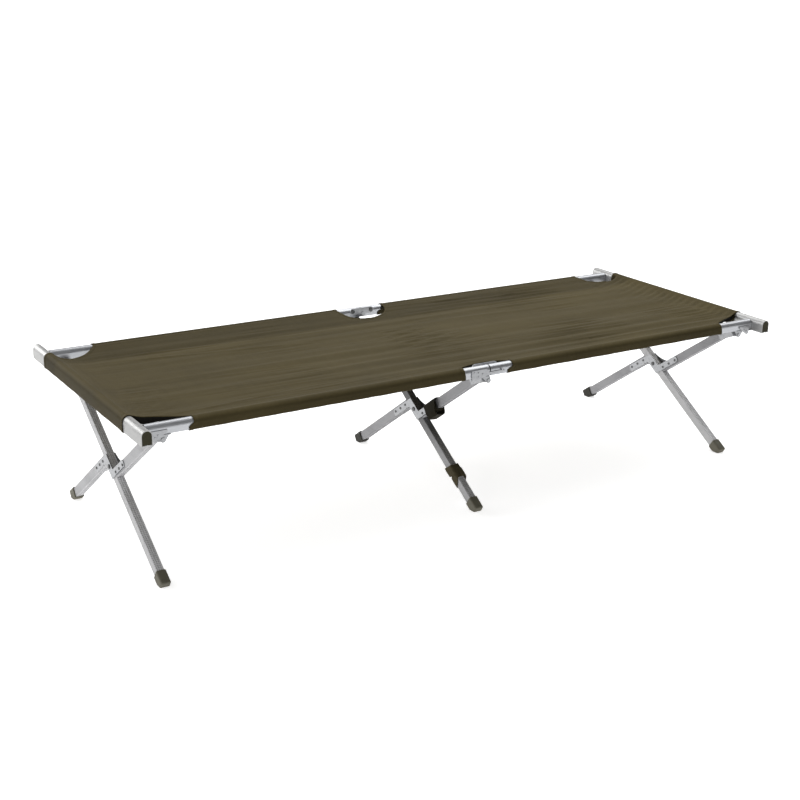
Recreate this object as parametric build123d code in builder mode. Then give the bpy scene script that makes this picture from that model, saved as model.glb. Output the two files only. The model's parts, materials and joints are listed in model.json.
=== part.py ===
"""Folding camp cot: aluminium side rails, three scissor leg sets, end bars and a canvas bed.

Millimetres. X runs along the bed, Y across it, Z up from the floor. The origin is on the
floor under the middle of the bed. "Front" is -Y, "back" is +Y.
"""

import os
from math import cos, radians, sin

from build123d import *

os.makedirs("parts", exist_ok=True)

# ---- bed frame
BAR_X = 935.0  # end bar centre line, each way from the middle
BAR_LENGTH = 750.0
BAR_WIDTH = 26.0
BAR_SLOT = 5.0  # open slot along the bar's underside, for the rail ends' lips
BAR_TOP = 416.0
BAR_BOTTOM = 380.5
RAIL_Y = 322.0  # side rail centre line, each way from the middle
RAIL_WIDTH = 25.0
RAIL_TOP = 411.0
RAIL_BOTTOM = 385.0
WALL = 1.6  # extruded tube wall
SEAM_GAP = 3.0  # between the two rail halves at the middle
BODY_GAP = 0.4  # air between pieces that move past each other
RUNNING = 0.05  # radial clearance of a running pin
LOOSE = 0.35  # radial clearance of a pin that only steadies a piece
PLATE = 2.0  # pressed steel

# ---- leg sets
LEG_SETS = {"left": -880.0, "middle": 0.0, "right": 880.0}
SWIVEL_Z = 370.0  # leg set swivel axis and the scissor's top hinges
HINGE_INSET = 9.0  # top hinge, inboard of the rail centre line
CROSS_Z = 196.0  # scissor cross pin
LEG_A_ANGLE = 32.6  # straight leg, from level
LEG_B_ANGLE = 35.3  # cranked leg, from level
CRANK = 24.5  # offset of each half of leg B from the cross pin
LEG_DEPTH = 25.0
LEG_B_THICK = 20.0
LEG_A_THICK = 19.2
LEG_WALL = 1.5
LEG_B_START = 29.0  # near ends of leg B's halves, from the cross pin
LEG_TOP = 338.0  # leg tops, from the cross pin
LEG_A_FOOT = 352.0
LEG_B_FOOT = 361.0
SOLE = 3.0  # rubber under a leg's end
BOOT_REACH = 10.0  # boot past the leg's end, before its sole is cut flat
BOOT_LENGTH = 38.0
BOOT_WALL = 3.0
RIVET_R = 2.2
HINGE_PIN_R = 3.0
CROSS_PIN_R = 4.0
SHAFT_R = 4.0

# ---- middle hinge of the rails
LINK_REACH = 30.0  # link pins, each way from the seam
LINK_Z = 403.0

# ---- canvas
CLOTH = 1.5
SLEEVE_GAP = 0.8
SHEET_Z = 404.5
SHEET_THICK = 2.5
SHEET_HALF = 310.3  # the sheet meets the rail sleeves here
SHEET_END = 920.9  # and the end sleeves here
SLEEVE_HALF = 272.0  # half length of the end sleeves
CORNER_X = 808.0  # rail sleeves stop here
MIDDLE_CUT = (-78.0, 70.0)  # rail sleeves are open between these


# ---- planes and sections


def leg_b_plane(x):
    """Face plane of leg B: local x up the leg towards the front rail, local y to its underside."""
    angle = radians(LEG_B_ANGLE)
    return Plane(origin=(x, 0, CROSS_Z), x_dir=(0, -cos(angle), sin(angle)), z_dir=(1, 0, 0))


def leg_a_plane(x):
    """Face plane of leg A: local x up the leg towards the back rail, local y to its underside."""
    angle = radians(LEG_A_ANGLE)
    return Plane(origin=(x, 0, CROSS_Z), x_dir=(0, cos(angle), sin(angle)), z_dir=(-1, 0, 0))


def cross_section_plane(face, along, across):
    """Plane square to a leg, its local x along the bed."""
    return Plane(origin=face.from_local_coords((along, across, 0)), x_dir=(1, 0, 0), z_dir=face.x_dir)


def tube_section(plane, width, height, grow=0.0, wall=None):
    """Flat-bottomed section with a half-round top, standing on the plane's local x axis."""
    with BuildSketch(plane) as section:
        half = width / 2 + grow
        shoulder = height + grow - half
        with BuildLine():
            Polyline((-half, shoulder), (-half, -grow), (half, -grow), (half, shoulder))
            ThreePointArc((half, shoulder), (0, height + grow), (-half, shoulder))
        make_face()
        if wall is not None:
            offset(amount=-wall, mode=Mode.INTERSECT, kind=Kind.INTERSECTION)
    return section.sketch


def ring_section(plane, width, height, inner, outer):
    """The cloth of a sleeve: the tube's outline grown twice, the smaller one cut from the larger."""
    return tube_section(plane, width, height, outer) - tube_section(plane, width, height, inner)


def leg_section(plane, thick, hollow=True):
    """Box section of a leg, finely grooved on its upper and lower faces."""
    groove_pitch = 2.6
    groove_depth = 0.5
    with BuildSketch(plane) as section:
        RectangleRounded(thick, LEG_DEPTH, 1.6)
        if hollow:
            RectangleRounded(thick - 2 * LEG_WALL, LEG_DEPTH - 2 * LEG_WALL, 0.6, mode=Mode.SUBTRACT)
            with GridLocations(groove_pitch, LEG_DEPTH, 5, 2):
                Rectangle(groove_pitch / 2, 2 * groove_depth, mode=Mode.SUBTRACT)
    return section.sketch


def outline(plane, points):
    """Closed straight-sided outline."""
    with BuildSketch(plane) as shape:
        with BuildLine():
            Polyline(*points, close=True)
        make_face()
    return shape.sketch


def discs(plane, spots, radius):
    """Circles at the given spots of a plane."""
    with BuildSketch(plane) as shape:
        with Locations(*spots):
            Circle(radius)
    return shape.sketch


def rail_plane(x=0.0, y=0.0):
    """Section plane across a rail: local x is +Y, local y is up from the rail's underside."""
    return Plane(origin=(x, y, RAIL_BOTTOM), x_dir=(0, 1, 0), z_dir=(1, 0, 0))


def side_plane(y):
    """Upright plane facing +Y: local x runs towards -X, local y is height above the floor."""
    return Plane(origin=(0, y, 0), x_dir=(-1, 0, 0), z_dir=(0, 1, 0))


def save(part, name):
    part.label = name
    export_step(part, f"parts/{name}.step")


SIDES = {"front": -1, "back": 1}
ENDS = {"left": -1, "right": 1}
RAIL_HEIGHT = RAIL_TOP - RAIL_BOTTOM
RAIL_NEAR = SEAM_GAP / 2
RAIL_FAR = BAR_X - BAR_WIDTH / 2 - 0.5
PLATE_OUTER = RAIL_WIDTH / 2 + BODY_GAP + PLATE  # outer face of the bracket plates, from the rail's centre line
EAR_OUTER = 7.0  # faces of the two ears that hold a swivel, out and in from the rail's centre line
EAR_INNER = 1.0
HINGE_Y = RAIL_Y - HINGE_INSET


# ---- side rails, in four halves

SIDE_LINK_HOLES = {"left": -LINK_REACH, "right": LINK_REACH}


def link_hole_radius(side, end):
    """The back link is held by the left rail; its right pin only steadies the right rail."""
    return SHAFT_R + (LOOSE if (side, end) == ("back", "right") else RUNNING)


for side, sy in SIDES.items():
    for end, sx in ENDS.items():
        start = RAIL_NEAR if sx > 0 else -RAIL_FAR
        plane = rail_plane(start, sy * RAIL_Y)
        inner_wall = sy * (RAIL_Y - RAIL_WIDTH / 2)
        hole = discs(side_plane(inner_wall), [(-SIDE_LINK_HOLES[end], LINK_Z)], link_hole_radius(side, end))
        with BuildPart() as rail:
            extrude(tube_section(plane, RAIL_WIDTH, RAIL_HEIGHT), amount=RAIL_FAR - RAIL_NEAR)
            extrude(
                tube_section(plane, RAIL_WIDTH, RAIL_HEIGHT, grow=-WALL),
                amount=RAIL_FAR - RAIL_NEAR,
                mode=Mode.SUBTRACT,
            )
            extrude(hole, amount=RAIL_WIDTH / 3, both=True, mode=Mode.SUBTRACT)
        save(rail.part, f"rail_{side}_{end}")


# ---- lipped catches under the rail ends, which hook into the end bars

CATCH_WIDTH = 18.0
CATCH_START = 901.0
CATCH_STEP = 914.0
LIP_THICK = 3.0
LIP_HEIGHT = 7.5
CATCH_RIVET_X = 907.0
CATCH_RIVET_R = 4.0
FLAT_HEAD = 1.2  # height of a flat rivet head

for side, sy in SIDES.items():
    for end, sx in ENDS.items():
        reach = BAR_X + LIP_THICK / 2
        profile = outline(
            Plane(origin=(0, sy * RAIL_Y, 0), x_dir=(1, 0, 0), z_dir=(0, -1, 0)),
            [
                (sx * CATCH_START, RAIL_BOTTOM),
                (sx * CATCH_START, RAIL_BOTTOM - PLATE),
                (sx * CATCH_STEP, BAR_BOTTOM - BODY_GAP - PLATE),
                (sx * reach, BAR_BOTTOM - BODY_GAP - PLATE),
                (sx * reach, BAR_BOTTOM + LIP_HEIGHT),
                (sx * (reach - LIP_THICK), BAR_BOTTOM + LIP_HEIGHT),
                (sx * (reach - LIP_THICK), BAR_BOTTOM - BODY_GAP),
                (sx * (CATCH_STEP + PLATE), BAR_BOTTOM - BODY_GAP),
                (sx * (CATCH_STEP + PLATE), RAIL_BOTTOM),
            ],
        )
        underside = Plane(origin=(0, 0, RAIL_BOTTOM - PLATE))
        with BuildPart() as catch:
            extrude(profile, amount=CATCH_WIDTH / 2, both=True)
            extrude(discs(underside, [(sx * CATCH_RIVET_X, sy * RAIL_Y)], CATCH_RIVET_R), amount=-FLAT_HEAD)
        save(catch.part, f"end_catch_{side}_{end}")


# ---- end bars and their plugs

BAR_HEIGHT = BAR_TOP - BAR_BOTTOM
PLUG_DEPTH = 14.0
PLUG_RECESS = 0.6
PLUG_EDGE = 0.8

for end, sx in ENDS.items():
    section_plane = Plane(
        origin=(sx * BAR_X, BAR_LENGTH / 2, BAR_BOTTOM), x_dir=(1, 0, 0), z_dir=(0, -1, 0)
    )
    with BuildSketch(section_plane) as slot:
        Rectangle(BAR_SLOT, 4 * WALL)
    with BuildPart() as bar:
        extrude(tube_section(section_plane, BAR_WIDTH, BAR_HEIGHT), amount=BAR_LENGTH)
        extrude(
            tube_section(section_plane, BAR_WIDTH, BAR_HEIGHT, grow=-WALL),
            amount=BAR_LENGTH,
            mode=Mode.SUBTRACT,
        )
        extrude(slot.sketch, amount=BAR_LENGTH, mode=Mode.SUBTRACT)
    save(bar.part, f"end_bar_{end}")

    with BuildPart() as plugs:
        for sy in (-1, 1):
            face = Plane(
                origin=(sx * BAR_X, sy * (BAR_LENGTH / 2 - PLUG_RECESS), BAR_BOTTOM),
                x_dir=(1, 0, 0),
                z_dir=(0, -1, 0),
            )
            inner = tube_section(face, BAR_WIDTH, BAR_HEIGHT, grow=-WALL)
            extrude(inner, amount=sy * PLUG_DEPTH)
        chamfer(plugs.faces().sort_by(Axis.Y)[0].edges(), PLUG_EDGE)
        chamfer(plugs.faces().sort_by(Axis.Y)[-1].edges(), PLUG_EDGE)
    save(plugs.part, f"end_plugs_{end}")


# ---- leg brackets under the rails

BRACKET_HALF = 16.0  # half length of a corner bracket's base
MIDDLE_HALF = 10.0  # and of a middle bracket's
EAR_R = 6.6
MIDDLE_LEAN = 12.5  # the middle brackets lean from the left rail's end to under the seam
GUSSET = ((909.0, 396.0), (872.0, 396.0), (872.0, 391.5), (902.0, 370.5), (909.0, 373.0))
GUSSET_RIVETS = ((901.5, 380.0), (893.5, 385.0))
ARM_END = 44.0
ARM_TOP = 395.5
ARM_DEPTH = 6.0
STOP_PIN_X = 34.0
STOP_PIN_R = 2.5
STOP_PIN_Z = ARM_TOP + STOP_PIN_R + 0.6
STOP_PIN_LENGTH = 4.6
ARM_RIVETS = ((50.0, 399.5), (37.0, 397.5), (24.0, 392.5), (36.0, 387.5))
PLATE_RIVET_R = 2.6


def ear_outline(y, x, top_x, half):
    """An ear that narrows from the base plate, at top_x, to a round end about the swivel axis at x."""
    with BuildSketch(side_plane(y)) as ear:
        with BuildSketch(mode=Mode.PRIVATE) as points:
            with Locations((-x, SWIVEL_Z)):
                Circle(EAR_R)
            with Locations((-top_x, RAIL_BOTTOM)):
                Rectangle(2 * half, PLATE, align=(Align.CENTER, Align.MAX))
        make_hull(points.sketch.edges())
    return ear.sketch


def swivel_hole_radius(side, leg_set):
    """The middle set's back swivel only steadies its rail, so its hole is loose."""
    return SHAFT_R + (LOOSE if (side, leg_set) == ("back", "middle") else RUNNING)


def arm_outline(y):
    """The middle bracket's outer plate: its arm passes the seam under the other rail's stop pin."""
    low = ARM_TOP - ARM_DEPTH
    return outline(
        side_plane(y),
        [
            (58.0, 404.0),
            (58.0, RAIL_BOTTOM + 1),
            (42.0, RAIL_BOTTOM - 4),
            (24.0, RAIL_BOTTOM - 2),
            (0.0, low),
            (-ARM_END, low + 1),
            (-ARM_END, ARM_TOP),
            (4.0, ARM_TOP),
            (12.0, 404.0),
        ],
    )


for side, sy in SIDES.items():
    outer_face = sy * (RAIL_Y + PLATE_OUTER)
    for end, sx in ENDS.items():
        sets = {"left": ("left", "middle"), "right": ("right",)}[end]
        with BuildPart() as brackets:
            for leg_set in sets:
                x = LEG_SETS[leg_set]
                half = MIDDLE_HALF if leg_set == "middle" else BRACKET_HALF
                top_x = x - MIDDLE_LEAN if leg_set == "middle" else x
                extrude(ear_outline(sy * (RAIL_Y + EAR_OUTER), x, top_x, half), amount=-sy * PLATE)
                extrude(ear_outline(sy * (RAIL_Y - EAR_INNER), x, top_x, half * 0.7), amount=sy * PLATE)
                base = Plane(origin=(top_x, sy * (RAIL_Y + (PLATE_OUTER - EAR_INNER) / 2), RAIL_BOTTOM))
                with BuildSketch(base) as base_plate:
                    Rectangle(2 * half, PLATE_OUTER + EAR_INNER)
                extrude(base_plate.sketch, amount=-PLATE)
                bore = discs(side_plane(sy * RAIL_Y), [(-x, SWIVEL_Z)], swivel_hole_radius(side, leg_set))
                extrude(bore, amount=2 * PLATE_OUTER, both=True, mode=Mode.SUBTRACT)
            if end == "left":
                extrude(arm_outline(outer_face), amount=-sy * PLATE)
                extrude(discs(side_plane(outer_face), ARM_RIVETS, PLATE_RIVET_R), amount=sy * FLAT_HEAD)
            else:
                pin_face = side_plane(sy * (RAIL_Y + RAIL_WIDTH / 2))
                extrude(discs(pin_face, [(-STOP_PIN_X, STOP_PIN_Z)], STOP_PIN_R), amount=sy * STOP_PIN_LENGTH)
            gusset = outline(side_plane(outer_face), [(-sx * u, z) for u, z in GUSSET])
            extrude(gusset, amount=-sy * PLATE)
            gusset_rivets = [(-sx * u, z) for u, z in GUSSET_RIVETS]
            extrude(discs(side_plane(outer_face), gusset_rivets, PLATE_RIVET_R), amount=sy * FLAT_HEAD)
        save(brackets.part, f"leg_brackets_{side}_{end}")


# ---- links of the middle hinge, each with two pins

LINK_R = 9.0
LINK_GAP = 0.3
LINK_LOBE = (4.0, 395.5)
LOBE_OVAL = (6.5, 5.0)
LOBE_RISE = 1.6
LINK_PIN_LENGTH = 11.0
LINK_HEAD_R = 6.0
LINK_HEAD = 2.2
HEAD_EDGE = 0.8

for side, sy in SIDES.items():
    rail_face = RAIL_Y - RAIL_WIDTH / 2
    link_face = sy * (rail_face - LINK_GAP)
    with BuildSketch(side_plane(link_face)) as link_shape:
        with BuildSketch(mode=Mode.PRIVATE) as bosses:
            with Locations((-LINK_REACH, LINK_Z), (LINK_REACH, LINK_Z)):
                Circle(LINK_R)
        make_hull(bosses.sketch.edges())
        with Locations((-LINK_LOBE[0], LINK_LOBE[1])):
            Circle(LINK_R)
    pin_spots = [(-LINK_REACH, LINK_Z), (LINK_REACH, LINK_Z)]
    with BuildPart() as link:
        extrude(link_shape.sketch, amount=-sy * PLATE)
        extrude(
            discs(side_plane(link_face), pin_spots, SHAFT_R), amount=-sy * PLATE, mode=Mode.SUBTRACT
        )
        lobe_face = side_plane(link_face - sy * PLATE)
        with BuildSketch(lobe_face) as oval:
            with Locations((-LINK_LOBE[0], LINK_LOBE[1] - 1)):
                Ellipse(*LOBE_OVAL)
        extrude(oval.sketch, amount=-sy * LOBE_RISE)
    save(link.part, f"middle_link_{side}")

    with BuildPart() as pins:
        extrude(discs(lobe_face, pin_spots, SHAFT_R), amount=sy * LINK_PIN_LENGTH)
        extrude(discs(lobe_face, pin_spots, LINK_HEAD_R), amount=-sy * LINK_HEAD)
        head_faces = pins.faces().filter_by(Axis.Y).sort_by(Axis.Y)
        outer_heads = head_faces[:2] if sy > 0 else head_faces[-2:]
        chamfer(outer_heads.edges(), HEAD_EDGE)
    save(pins.part, f"middle_link_pins_{side}")


# ---- leg sets

RIVET_SPOTS = (37.0, 67.0, 97.0)
FORK_RIVETS = ((312.0, 0.0), (330.0, 0.0))
CHEEK_MIDDLE = 321.0
CHEEK_LENGTH = 32.0
HINGE_HEAD_R = 4.5
HINGE_HEAD = 1.5
RIVET_HEAD_R = 3.4
RIVET_HEAD = 1.2
EYE_WIDTH = 18.4
EYE_HEIGHT = 13.0
EYE_DEPTH = 14.6
SWIVEL_HEAD_R = 5.5
SWIVEL_HEAD = 1.5
FORK_R = 6.5
CROSS_HEAD_R = 6.0
CROSS_HEAD = 2.0
LIP = 2.5  # how far the cross plates' turned lips stand out
LIP_WIDTH = 1.4
PLATE_IN = 13.0  # a cross plate's edges, each side of the cross pin
PLATE_OUT = 32.0
PLATE_TIP = 108.0
PLATE_NECK = 19.0


def leg_tube(face, thick, across, start, stop, holes):
    """A straight leg tube between two places along a leg's face plane, with holes through it."""
    plane = cross_section_plane(face, start, across)
    with BuildPart() as tube:
        extrude(leg_section(plane, thick), amount=stop - start)
        split(bisect_by=Plane.XY.offset(SOLE), keep=Keep.TOP)
        for spot, radius in holes:
            extrude(discs(face, [spot], radius), amount=thick, both=True, mode=Mode.SUBTRACT)
    return tube.part


def top_hinge_spot(face, side):
    """The top hinge of a leg, in its own face plane."""
    spot = face.to_local_coords(Vector(face.origin.X, side * HINGE_Y, SWIVEL_Z))
    return (spot.X, spot.Y)


def cheek_outline(plane, hinge, across):
    """Cheek plate that covers a leg's top and narrows to an ear about the hinge pin."""
    with BuildSketch(plane) as cheek:
        with BuildSketch(mode=Mode.PRIVATE) as corners:
            with Locations(hinge):
                Circle(FORK_R)
            with Locations((CHEEK_MIDDLE, across)):
                Rectangle(CHEEK_LENGTH, LEG_DEPTH - 3)
        make_hull(corners.sketch.edges())
    return cheek.sketch


def fork(face, side, thick, across):
    """Two cheek plates on a leg's top, with the hinge pin and rivets between them."""
    hinge = top_hinge_spot(face, side)
    spots = [(s, t + across) for s, t in FORK_RIVETS]
    with BuildPart() as pieces:
        for way in (-1, 1):
            plane = face.offset(way * thick / 2)
            extrude(cheek_outline(plane, hinge, across), amount=way * PLATE)
            extrude(discs(plane, [hinge], HINGE_PIN_R), amount=way * PLATE, mode=Mode.SUBTRACT)
            extrude(discs(plane, spots, RIVET_R), amount=way * PLATE, mode=Mode.SUBTRACT)
    reach = thick / 2 + PLATE
    with BuildPart() as fasteners:
        extrude(discs(face, [hinge], HINGE_PIN_R), amount=reach, both=True)
        extrude(discs(face, spots, RIVET_R), amount=reach, both=True)
        for way in (-1, 1):
            extrude(discs(face.offset(way * reach), [hinge], HINGE_HEAD_R), amount=way * HINGE_HEAD)
            extrude(discs(face.offset(way * reach), spots, RIVET_HEAD_R), amount=way * RIVET_HEAD)
    return Compound(children=[*pieces.part.solids(), *fasteners.part.solids()])


def foot(face, thick, across, leg_end):
    """Rubber boot on a leg's lower end, cut flat where it stands on the floor."""
    toe_plane = cross_section_plane(face, -leg_end - BOOT_REACH, across)
    pocket_plane = cross_section_plane(face, -leg_end, across)
    up_the_leg = Axis((0, 0, 0), tuple(face.x_dir))
    with BuildPart() as pocket:
        extrude(leg_section(pocket_plane, thick, hollow=False), amount=BOOT_LENGTH)
        split(bisect_by=Plane.XY.offset(SOLE), keep=Keep.TOP)
    with BuildSketch(toe_plane) as outer:
        RectangleRounded(thick + 2 * BOOT_WALL, LEG_DEPTH + 2 * BOOT_WALL, 4.5)
    with BuildPart() as boot:
        extrude(outer.sketch, amount=BOOT_LENGTH)
        fillet(boot.faces().sort_by(up_the_leg)[-1].edges(), 1.4)
        fillet(boot.faces().sort_by(up_the_leg)[0].edges(), 4.0)
        split(bisect_by=Plane.XY, keep=Keep.TOP)
        add(pocket.part, mode=Mode.SUBTRACT)
    return boot.part


def cross_plate_outline(face, curved):
    """Pressed plate joining leg B's halves past leg A; one of the pair has curved webs."""
    shoulder = PLATE_TIP - 6
    with BuildSketch(face) as plate:
        with BuildLine():
            for way in (1, -1):
                tip_arc = ThreePointArc(
                    (way * shoulder, way * PLATE_IN),
                    (way * PLATE_TIP, way * (PLATE_IN + PLATE_OUT) / 2),
                    (way * shoulder, way * PLATE_OUT),
                )
                Line(tip_arc @ 1, (-way * 1.0, way * PLATE_OUT))
                Line((-way * 1.0, way * PLATE_OUT), (-way * PLATE_NECK, -way * PLATE_IN))
                Line((-way * PLATE_NECK, -way * PLATE_IN), (-way * shoulder, -way * PLATE_IN))
        make_face()
        if curved:
            for way in (1, -1):
                with BuildLine():
                    web = ThreePointArc(
                        (way * 50.0, way * (PLATE_IN + 0.5)),
                        (way * 22.0, -way * 5.0),
                        (way * 1.0, -way * PLATE_OUT),
                    )
                    Polyline(web @ 1, (way * PLATE_NECK, way * (PLATE_IN + 0.5)), web @ 0)
                make_face()
    return plate.sketch


for leg_set, x in LEG_SETS.items():
    face_a = leg_a_plane(x)
    face_b = leg_b_plane(x)

    upper_holes = [((s, CRANK), RIVET_R) for s in RIVET_SPOTS]
    upper_holes += [((s, t + CRANK), RIVET_R) for s, t in FORK_RIVETS]
    lower_holes = [((-s, -CRANK), RIVET_R) for s in RIVET_SPOTS]
    leg_a_holes = [((0, 0), CROSS_PIN_R + RUNNING)]
    leg_a_holes += [(spot, RIVET_R) for spot in FORK_RIVETS]

    save(leg_tube(face_b, LEG_B_THICK, CRANK, LEG_B_START, LEG_TOP, upper_holes), f"leg_b_upper_{leg_set}")
    save(
        leg_tube(face_b, LEG_B_THICK, -CRANK, -LEG_B_FOOT, -LEG_B_START, lower_holes),
        f"leg_b_lower_{leg_set}",
    )
    save(leg_tube(face_a, LEG_A_THICK, 0.0, -LEG_A_FOOT, LEG_TOP, leg_a_holes), f"leg_a_{leg_set}")
    save(fork(face_b, -1, LEG_B_THICK, CRANK), f"fork_b_{leg_set}")
    save(fork(face_a, 1, LEG_A_THICK, 0.0), f"fork_a_{leg_set}")
    save(foot(face_a, LEG_A_THICK, 0.0, LEG_A_FOOT), f"foot_front_{leg_set}")
    save(foot(face_b, LEG_B_THICK, -CRANK, LEG_B_FOOT), f"foot_back_{leg_set}")

    plate_holes = [(s, CRANK) for s in RIVET_SPOTS] + [(-s, -CRANK) for s in RIVET_SPOTS]
    with BuildPart() as cross_plates:
        for way in (-1, 1):
            plane = face_b.offset(way * LEG_B_THICK / 2)
            extrude(cross_plate_outline(plane, way > 0), amount=way * PLATE)
            for start, stop, edge in ((34.0, 100.0, PLATE_OUT), (-102.0, -34.0, -PLATE_IN)):
                lip = [(start, edge - LIP_WIDTH), (stop, edge - LIP_WIDTH), (stop, edge), (start, edge)]
                extrude(outline(plane.offset(way * PLATE), lip), amount=way * LIP)
            extrude(discs(plane, plate_holes, RIVET_R), amount=way * PLATE, mode=Mode.SUBTRACT)
            extrude(discs(plane, [(0, 0)], CROSS_PIN_R), amount=way * PLATE, mode=Mode.SUBTRACT)
    save(cross_plates.part, f"cross_plates_{leg_set}")

    reach = LEG_B_THICK / 2 + PLATE
    with BuildPart() as rivets:
        extrude(discs(face_b, plate_holes, RIVET_R), amount=reach, both=True)
        for way in (-1, 1):
            extrude(discs(face_b.offset(way * reach), plate_holes, RIVET_HEAD_R), amount=way * RIVET_HEAD)
    save(rivets.part, f"cross_rivets_{leg_set}")

    with BuildPart() as cross_pin:
        extrude(discs(face_b, [(0, 0)], CROSS_PIN_R), amount=reach, both=True)
        for way in (-1, 1):
            extrude(discs(face_b.offset(way * reach), [(0, 0)], CROSS_HEAD_R), amount=way * CROSS_HEAD)
        chamfer(cross_pin.faces().sort_by(Axis.X)[0].edges(), HEAD_EDGE)
        chamfer(cross_pin.faces().sort_by(Axis.X)[-1].edges(), HEAD_EDGE)
    save(cross_pin.part, f"cross_pin_{leg_set}")

    for side, sy in SIDES.items():
        head = sy * (RAIL_Y + EAR_OUTER + LINK_GAP)
        eye_start = sy * (RAIL_Y - EAR_INNER - BODY_GAP)
        shaft_length = abs(head - eye_start)
        with BuildSketch(side_plane(eye_start)) as eye_shape:
            with Locations((-x, SWIVEL_Z)):
                RectangleRounded(EYE_WIDTH, EYE_HEIGHT, 2.0)
        with BuildSketch(Plane(origin=(x, sy * HINGE_Y, SWIVEL_Z), x_dir=(0, 1, 0), z_dir=(1, 0, 0))) as bore:
            Circle(HINGE_PIN_R + RUNNING)
        with BuildPart() as swivel:
            extrude(eye_shape.sketch, amount=-sy * EYE_DEPTH)
            extrude(discs(side_plane(eye_start), [(-x, SWIVEL_Z)], SHAFT_R), amount=sy * shaft_length)
            extrude(discs(side_plane(head), [(-x, SWIVEL_Z)], SWIVEL_HEAD_R), amount=sy * SWIVEL_HEAD)
            extrude(bore.sketch, amount=EYE_WIDTH, both=True, mode=Mode.SUBTRACT)
        save(swivel.part, f"swivel_{side}_{leg_set}")


# ---- webbing straps on the middle leg set


def strap_band(face, width, depth, across, start, stop):
    """A closed band of webbing round a leg, between two places along it."""
    plane = cross_section_plane(face, start, across)
    with BuildSketch(plane) as ring:
        RectangleRounded(width + 2 * STRAP_WALL, depth + 2 * STRAP_WALL, 4.0)
        RectangleRounded(width, depth, 1.6, mode=Mode.SUBTRACT)
    with BuildPart() as band:
        extrude(ring.sketch, amount=stop - start)
    return band.part


STRAP_WALL = 3.0
STRAP_EASE = 0.4
middle_x = LEG_SETS["middle"]
leg_strap_width = LEG_A_THICK + 2 * STRAP_EASE
cross_strap_width = LEG_B_THICK + 2 * (PLATE + LIP + STRAP_EASE)
strap_depth = LEG_DEPTH + 2 * STRAP_EASE
save(
    strap_band(leg_a_plane(middle_x), leg_strap_width, strap_depth, 0.0, -262.0, -206.0),
    "leg_strap",
)
save(
    strap_band(leg_b_plane(middle_x), cross_strap_width, strap_depth, CRANK, 50.0, 84.0),
    "cross_strap",
)


# ---- canvas, in a half for each pair of rails


def rail_sleeves(start):
    """The sections of the two rail sleeves."""
    shapes = []
    for sy in (-1, 1):
        plane = rail_plane(start, sy * RAIL_Y)
        shapes.append(ring_section(plane, RAIL_WIDTH, RAIL_HEIGHT, SLEEVE_GAP, SLEEVE_GAP + CLOTH))
    return shapes


HALVES_GAP = 1.0  # from the middle of the bed to each half of the cloth
BEYOND_X = BAR_X + 30  # the cutting shapes reach past the bed
BEYOND_Y = RAIL_Y + 40
CUT_LOW = BAR_BOTTOM - 10
CUT_DEPTH = 60.0

for end, sx in ENDS.items():
    start, stop = sorted((sx * HALVES_GAP, sx * SHEET_END))
    bar_plane = Plane(
        origin=(sx * BAR_X, SLEEVE_HALF, BAR_BOTTOM), x_dir=(1, 0, 0), z_dir=(0, -1, 0)
    )
    middle_edge = MIDDLE_CUT[0] if sx < 0 else MIDDLE_CUT[1]
    with BuildPart() as canvas:
        for sleeve in rail_sleeves(start):
            extrude(sleeve, amount=stop - start)
        with BuildSketch(Plane(origin=((start + stop) / 2, 0, SHEET_Z))) as sheet:
            Rectangle(stop - start, 2 * SHEET_HALF)
        extrude(sheet.sketch, amount=SHEET_THICK)
        for sy in (-1, 1):
            with BuildSketch(Plane(origin=(0, 0, CUT_LOW))) as corner:
                with BuildLine():
                    edge = ThreePointArc(
                        (sx * BEYOND_X, sy * (SLEEVE_HALF - 6)),
                        (sx * 868.0, sy * (SHEET_HALF - 20)),
                        (sx * CORNER_X, sy * SHEET_HALF),
                    )
                    Polyline(
                        edge @ 1,
                        (sx * CORNER_X, sy * BEYOND_Y),
                        (sx * BEYOND_X, sy * BEYOND_Y),
                        edge @ 0,
                    )
                make_face()
            extrude(corner.sketch, amount=CUT_DEPTH, mode=Mode.SUBTRACT)
            with BuildSketch(Plane(origin=(0, 0, CUT_LOW))) as middle:
                with BuildLine():
                    edge = ThreePointArc(
                        (middle_edge, sy * SHEET_HALF),
                        (middle_edge * 0.5, sy * (SHEET_HALF - 16)),
                        (0, sy * (SHEET_HALF - 22)),
                    )
                    Polyline(edge @ 1, (0, sy * BEYOND_Y), (middle_edge, sy * BEYOND_Y), edge @ 0)
                make_face()
            extrude(middle.sketch, amount=CUT_DEPTH, mode=Mode.SUBTRACT)
        extrude(
            ring_section(bar_plane, BAR_WIDTH, BAR_HEIGHT, SLEEVE_GAP, SLEEVE_GAP + CLOTH),
            amount=2 * SLEEVE_HALF,
        )
    save(canvas.part, f"canvas_{end}")
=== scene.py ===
"""Folding camp cot: looks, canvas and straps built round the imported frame. Metres."""

import json
from math import atan2, cos, pi, radians, sin, sqrt

import bmesh
import bpy
import numpy as np
from mathutils import Matrix, Vector


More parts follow.
